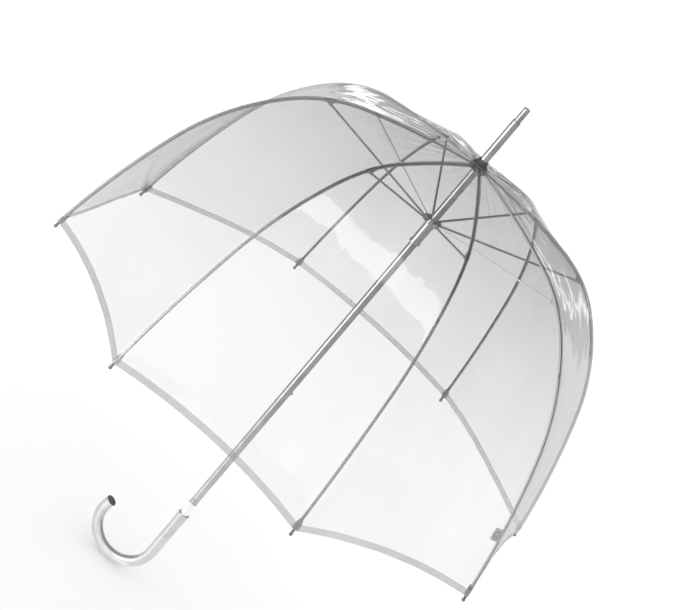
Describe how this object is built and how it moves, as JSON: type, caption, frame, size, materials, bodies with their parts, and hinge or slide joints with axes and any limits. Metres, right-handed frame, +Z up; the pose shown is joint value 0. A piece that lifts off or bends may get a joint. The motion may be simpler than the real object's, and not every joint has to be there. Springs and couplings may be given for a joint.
{
  "type": "bubble umbrella",
  "caption": "Stick umbrella with a deep dome of clear film on folding fluted ribs, a sliding runner with spring catches, a slim plated shaft, a ferrule and a hooked handle.",
  "frame": {"origin": "middle of the handle's straight length, on the shaft's axis, where the hand holds it", "axes": "+Z up along the shaft towards the ferrule; +X the way the handle's hook bends; ribs 1 to 8 stand at azimuth 22.5 degrees and every 45 degrees on"},
  "size_m": [0.7498, 0.7498, 0.9149],
  "materials": {
    "shaft_chrome": "bright plated",
    "ferrule_end": "plated",
    "dark_plastic": "gloss",
    "clear_plastic": "clear",
    "spring_steel": "bright",
    "clear_film": "clear",
    "collar_chrome": "bright",
    "handle_silver": "satin silver",
    "handle_end": "satin",
    "runner_plastic": "translucent white",
    "strap": "translucent grey",
    "snap_metal": "bright",
    "rib_steel": "plated, dark",
    "tip_metal": "plated",
    "stretcher_steel": "plated"
  },
  "bodies": {
    "shaft": {"shaft_tube": "shaft_chrome", "stop_pin": "shaft_chrome", "ferrule": "shaft_chrome", "ferrule_cap": "ferrule_end", "top_cap": "dark_plastic", "canopy_washer": "clear_plastic", "top_notch": "dark_plastic", "notch_wire": "spring_steel", "canopy": "clear_film", "handle_collar": "collar_chrome", "handle_ferrule": "handle_silver", "handle_grip": "handle_silver", "handle_end_cap": "handle_end"},
    "runner": {"runner": "runner_plastic", "runner_wire": "spring_steel"},
    "top_catch": {"top_spring": "spring_steel"},
    "bottom_catch": {"bottom_spring": "spring_steel"},
    "inner_1": {"rib_inner_1": "rib_steel"},
    "middle_1": {"rib_middle_1": "rib_steel"},
    "outer_1": {"rib_outer_1": "rib_steel", "rib_tip_1": "tip_metal"},
    "stretcher_1": {"stretcher_1": "stretcher_steel"},
    "inner_2": {"rib_inner_2": "rib_steel"},
    "middle_2": {"rib_middle_2": "rib_steel"},
    "outer_2": {"rib_outer_2": "rib_steel", "rib_tip_2": "tip_metal"},
    "stretcher_2": {"stretcher_2": "stretcher_steel"},
    "inner_3": {"rib_inner_3": "rib_steel"},
    "middle_3": {"rib_middle_3": "rib_steel"},
    "outer_3": {"rib_outer_3": "rib_steel", "rib_tip_3": "tip_metal"},
    "stretcher_3": {"stretcher_3": "stretcher_steel"},
    "inner_4": {"rib_inner_4": "rib_steel"},
    "middle_4": {"rib_middle_4": "rib_steel"},
    "outer_4": {"rib_outer_4": "rib_steel", "rib_tip_4": "tip_metal", "closure_strap": "strap", "strap_snap": "snap_metal"},
    "stretcher_4": {"stretcher_4": "stretcher_steel"},
    "inner_5": {"rib_inner_5": "rib_steel"},
    "middle_5": {"rib_middle_5": "rib_steel"},
    "outer_5": {"rib_outer_5": "rib_steel", "rib_tip_5": "tip_metal"},
    "stretcher_5": {"stretcher_5": "stretcher_steel"},
    "inner_6": {"rib_inner_6": "rib_steel"},
    "middle_6": {"rib_middle_6": "rib_steel"},
    "outer_6": {"rib_outer_6": "rib_steel", "rib_tip_6": "tip_metal"},
    "stretcher_6": {"stretcher_6": "stretcher_steel"},
    "inner_7": {"rib_inner_7": "rib_steel"},
    "middle_7": {"rib_middle_7": "rib_steel"},
    "outer_7": {"rib_outer_7": "rib_steel", "rib_tip_7": "tip_metal"},
    "stretcher_7": {"stretcher_7": "stretcher_steel"},
    "inner_8": {"rib_inner_8": "rib_steel"},
    "middle_8": {"rib_middle_8": "rib_steel"},
    "outer_8": {"rib_outer_8": "rib_steel", "rib_tip_8": "tip_metal"},
    "stretcher_8": {"stretcher_8": "stretcher_steel"}
  },
  "joints": [
    {"name": "runner_slide", "type": "slide", "parent": "shaft", "child": "runner", "axis": [0, 0, -1], "range_m": [0, 0.3168], "deforming": ["canopy", "top_spring", "bottom_spring"]},
    {"name": "rib_1_fold", "type": "hinge", "parent": "shaft", "child": "inner_1", "pos_m": [0.01016, 0.00421, 0.714], "axis": [-0.3827, 0.9239, 0], "range_deg": [0, 73.35]},
    {"name": "rib_1_flex_inner", "type": "hinge", "parent": "inner_1", "child": "middle_1", "pos_m": [0.20864, 0.08642, 0.66402], "axis": [-0.3827, 0.9239, 0], "range_deg": [-29.52, 0]},
    {"name": "rib_1_flex_outer", "type": "hinge", "parent": "middle_1", "child": "outer_1", "pos_m": [0.30649, 0.12695, 0.54265], "axis": [-0.3827, 0.9239, 0], "range_deg": [-26.52, 0]},
    {"name": "stretcher_1_pivot", "type": "hinge", "parent": "inner_1", "child": "stretcher_1", "pos_m": [0.19692, 0.08156, 0.6656], "axis": [-0.3827, 0.9239, 0], "range_deg": [-146.18, 0]},
    {"name": "rib_2_fold", "type": "hinge", "parent": "shaft", "child": "inner_2", "pos_m": [0.00421, 0.01016, 0.714], "axis": [-0.9239, 0.3827, 0], "range_deg": [0, 73.35]},
    {"name": "rib_2_flex_inner", "type": "hinge", "parent": "inner_2", "child": "middle_2", "pos_m": [0.08642, 0.20864, 0.66402], "axis": [-0.9239, 0.3827, 0], "range_deg": [-29.52, 0]},
    {"name": "rib_2_flex_outer", "type": "hinge", "parent": "middle_2", "child": "outer_2", "pos_m": [0.12695, 0.30649, 0.54265], "axis": [-0.9239, 0.3827, 0], "range_deg": [-26.52, 0]},
    {"name": "stretcher_2_pivot", "type": "hinge", "parent": "inner_2", "child": "stretcher_2", "pos_m": [0.08156, 0.19692, 0.6656], "axis": [-0.9239, 0.3827, 0], "range_deg": [-146.18, 0]},
    {"name": "rib_3_fold", "type": "hinge", "parent": "shaft", "child": "inner_3", "pos_m": [-0.00421, 0.01016, 0.714], "axis": [-0.9239, -0.3827, 0], "range_deg": [0, 73.35]},
    {"name": "rib_3_flex_inner", "type": "hinge", "parent": "inner_3", "child": "middle_3", "pos_m": [-0.08642, 0.20864, 0.66402], "axis": [-0.9239, -0.3827, 0], "range_deg": [-29.52, 0]},
    {"name": "rib_3_flex_outer", "type": "hinge", "parent": "middle_3", "child": "outer_3", "pos_m": [-0.12695, 0.30649, 0.54265], "axis": [-0.9239, -0.3827, 0], "range_deg": [-26.52, 0]},
    {"name": "stretcher_3_pivot", "type": "hinge", "parent": "inner_3", "child": "stretcher_3", "pos_m": [-0.08156, 0.19692, 0.6656], "axis": [-0.9239, -0.3827, 0], "range_deg": [-146.18, 0]},
    {"name": "rib_4_fold", "type": "hinge", "parent": "shaft", "child": "inner_4", "pos_m": [-0.01016, 0.00421, 0.714], "axis": [-0.3827, -0.9239, 0], "range_deg": [0, 73.35]},
    {"name": "rib_4_flex_inner", "type": "hinge", "parent": "inner_4", "child": "middle_4", "pos_m": [-0.20864, 0.08642, 0.66402], "axis": [-0.3827, -0.9239, 0], "range_deg": [-29.52, 0]},
    {"name": "rib_4_flex_outer", "type": "hinge", "parent": "middle_4", "child": "outer_4", "pos_m": [-0.30649, 0.12695, 0.54265], "axis": [-0.3827, -0.9239, 0], "range_deg": [-26.52, 0]},
    {"name": "stretcher_4_pivot", "type": "hinge", "parent": "inner_4", "child": "stretcher_4", "pos_m": [-0.19692, 0.08156, 0.6656], "axis": [-0.3827, -0.9239, 0], "range_deg": [-146.18, 0]},
    {"name": "rib_5_fold", "type": "hinge", "parent": "shaft", "child": "inner_5", "pos_m": [-0.01016, -0.00421, 0.714], "axis": [0.3827, -0.9239, 0], "range_deg": [0, 73.35]},
    {"name": "rib_5_flex_inner", "type": "hinge", "parent": "inner_5", "child": "middle_5", "pos_m": [-0.20864, -0.08642, 0.66402], "axis": [0.3827, -0.9239, 0], "range_deg": [-29.52, 0]},
    {"name": "rib_5_flex_outer", "type": "hinge", "parent": "middle_5", "child": "outer_5", "pos_m": [-0.30649, -0.12695, 0.54265], "axis": [0.3827, -0.9239, 0], "range_deg": [-26.52, 0]},
    {"name": "stretcher_5_pivot", "type": "hinge", "parent": "inner_5", "child": "stretcher_5", "pos_m": [-0.19692, -0.08156, 0.6656], "axis": [0.3827, -0.9239, 0], "range_deg": [-146.18, 0]},
    {"name": "rib_6_fold", "type": "hinge", "parent": "shaft", "child": "inner_6", "pos_m": [-0.00421, -0.01016, 0.714], "axis": [0.9239, -0.3827, 0], "range_deg": [0, 73.35]},
    {"name": "rib_6_flex_inner", "type": "hinge", "parent": "inner_6", "child": "middle_6", "pos_m": [-0.08642, -0.20864, 0.66402], "axis": [0.9239, -0.3827, 0], "range_deg": [-29.52, 0]},
    {"name": "rib_6_flex_outer", "type": "hinge", "parent": "middle_6", "child": "outer_6", "pos_m": [-0.12695, -0.30649, 0.54265], "axis": [0.9239, -0.3827, 0], "range_deg": [-26.52, 0]},
    {"name": "stretcher_6_pivot", "type": "hinge", "parent": "inner_6", "child": "stretcher_6", "pos_m": [-0.08156, -0.19692, 0.6656], "axis": [0.9239, -0.3827, 0], "range_deg": [-146.18, 0]},
    {"name": "rib_7_fold", "type": "hinge", "parent": "shaft", "child": "inner_7", "pos_m": [0.00421, -0.01016, 0.714], "axis": [0.9239, 0.3827, 0], "range_deg": [0, 73.35]},
    {"name": "rib_7_flex_inner", "type": "hinge", "parent": "inner_7", "child": "middle_7", "pos_m": [0.08642, -0.20864, 0.66402], "axis": [0.9239, 0.3827, 0], "range_deg": [-29.52, 0]},
    {"name": "rib_7_flex_outer", "type": "hinge", "parent": "middle_7", "child": "outer_7", "pos_m": [0.12695, -0.30649, 0.54265], "axis": [0.9239, 0.3827, 0], "range_deg": [-26.52, 0]},
    {"name": "stretcher_7_pivot", "type": "hinge", "parent": "inner_7", "child": "stretcher_7", "pos_m": [0.08156, -0.19692, 0.6656], "axis": [0.9239, 0.3827, 0], "range_deg": [-146.18, 0]},
    {"name": "rib_8_fold", "type": "hinge", "parent": "shaft", "child": "inner_8", "pos_m": [0.01016, -0.00421, 0.714], "axis": [0.3827, 0.9239, 0], "range_deg": [0, 73.35]},
    {"name": "rib_8_flex_inner", "type": "hinge", "parent": "inner_8", "child": "middle_8", "pos_m": [0.20864, -0.08642, 0.66402], "axis": [0.3827, 0.9239, 0], "range_deg": [-29.52, 0]},
    {"name": "rib_8_flex_outer", "type": "hinge", "parent": "middle_8", "child": "outer_8", "pos_m": [0.30649, -0.12695, 0.54265], "axis": [0.3827, 0.9239, 0], "range_deg": [-26.52, 0]},
    {"name": "stretcher_8_pivot", "type": "hinge", "parent": "inner_8", "child": "stretcher_8", "pos_m": [0.19692, -0.08156, 0.6656], "axis": [0.3827, 0.9239, 0], "range_deg": [-146.18, 0]},
    {"name": "top_catch_press", "type": "hinge", "parent": "shaft", "child": "top_catch", "pos_m": [-0.0046, 0, 0.5623], "axis": [0, 1, 0], "range_deg": [0, 4], "stiffness_Nm_per_rad": 0.8},
    {"name": "bottom_catch_press", "type": "hinge", "parent": "shaft", "child": "bottom_catch", "pos_m": [-0.0046, 0, 0.2455], "axis": [0, 1, 0], "range_deg": [0, 4], "stiffness_Nm_per_rad": 0.8}
  ],
  "couplings": [
    {"joint": "rib_1_fold", "follows": "runner_slide", "rad_per_m": 4.0383},
    {"joint": "rib_1_flex_inner", "follows": "runner_slide", "rad_per_m": -1.6252},
    {"joint": "rib_1_flex_outer", "follows": "runner_slide", "rad_per_m": -1.46},
    {"joint": "stretcher_1_pivot", "follows": "runner_slide", "rad_per_m": -8.049},
    {"joint": "rib_2_fold", "follows": "runner_slide", "rad_per_m": 4.0383},
    {"joint": "rib_2_flex_inner", "follows": "runner_slide", "rad_per_m": -1.6252},
    {"joint": "rib_2_flex_outer", "follows": "runner_slide", "rad_per_m": -1.46},
    {"joint": "stretcher_2_pivot", "follows": "runner_slide", "rad_per_m": -8.049},
    {"joint": "rib_3_fold", "follows": "runner_slide", "rad_per_m": 4.0383},
    {"joint": "rib_3_flex_inner", "follows": "runner_slide", "rad_per_m": -1.6252},
    {"joint": "rib_3_flex_outer", "follows": "runner_slide", "rad_per_m": -1.46},
    {"joint": "stretcher_3_pivot", "follows": "runner_slide", "rad_per_m": -8.049},
    {"joint": "rib_4_fold", "follows": "runner_slide", "rad_per_m": 4.0383},
    {"joint": "rib_4_flex_inner", "follows": "runner_slide", "rad_per_m": -1.6252},
    {"joint": "rib_4_flex_outer", "follows": "runner_slide", "rad_per_m": -1.46},
    {"joint": "stretcher_4_pivot", "follows": "runner_slide", "rad_per_m": -8.049},
    {"joint": "rib_5_fold", "follows": "runner_slide", "rad_per_m": 4.0383},
    {"joint": "rib_5_flex_inner", "follows": "runner_slide", "rad_per_m": -1.6252},
    {"joint": "rib_5_flex_outer", "follows": "runner_slide", "rad_per_m": -1.46},
    {"joint": "stretcher_5_pivot", "follows": "runner_slide", "rad_per_m": -8.049},
    {"joint": "rib_6_fold", "follows": "runner_slide", "rad_per_m": 4.0383},
    {"joint": "rib_6_flex_inner", "follows": "runner_slide", "rad_per_m": -1.6252},
    {"joint": "rib_6_flex_outer", "follows": "runner_slide", "rad_per_m": -1.46},
    {"joint": "stretcher_6_pivot", "follows": "runner_slide", "rad_per_m": -8.049},
    {"joint": "rib_7_fold", "follows": "runner_slide", "rad_per_m": 4.0383},
    {"joint": "rib_7_flex_inner", "follows": "runner_slide", "rad_per_m": -1.6252},
    {"joint": "rib_7_flex_outer", "follows": "runner_slide", "rad_per_m": -1.46},
    {"joint": "stretcher_7_pivot", "follows": "runner_slide", "rad_per_m": -8.049},
    {"joint": "rib_8_fold", "follows": "runner_slide", "rad_per_m": 4.0383},
    {"joint": "rib_8_flex_inner", "follows": "runner_slide", "rad_per_m": -1.6252},
    {"joint": "rib_8_flex_outer", "follows": "runner_slide", "rad_per_m": -1.46},
    {"joint": "stretcher_8_pivot", "follows": "runner_slide", "rad_per_m": -8.049}
  ]
}
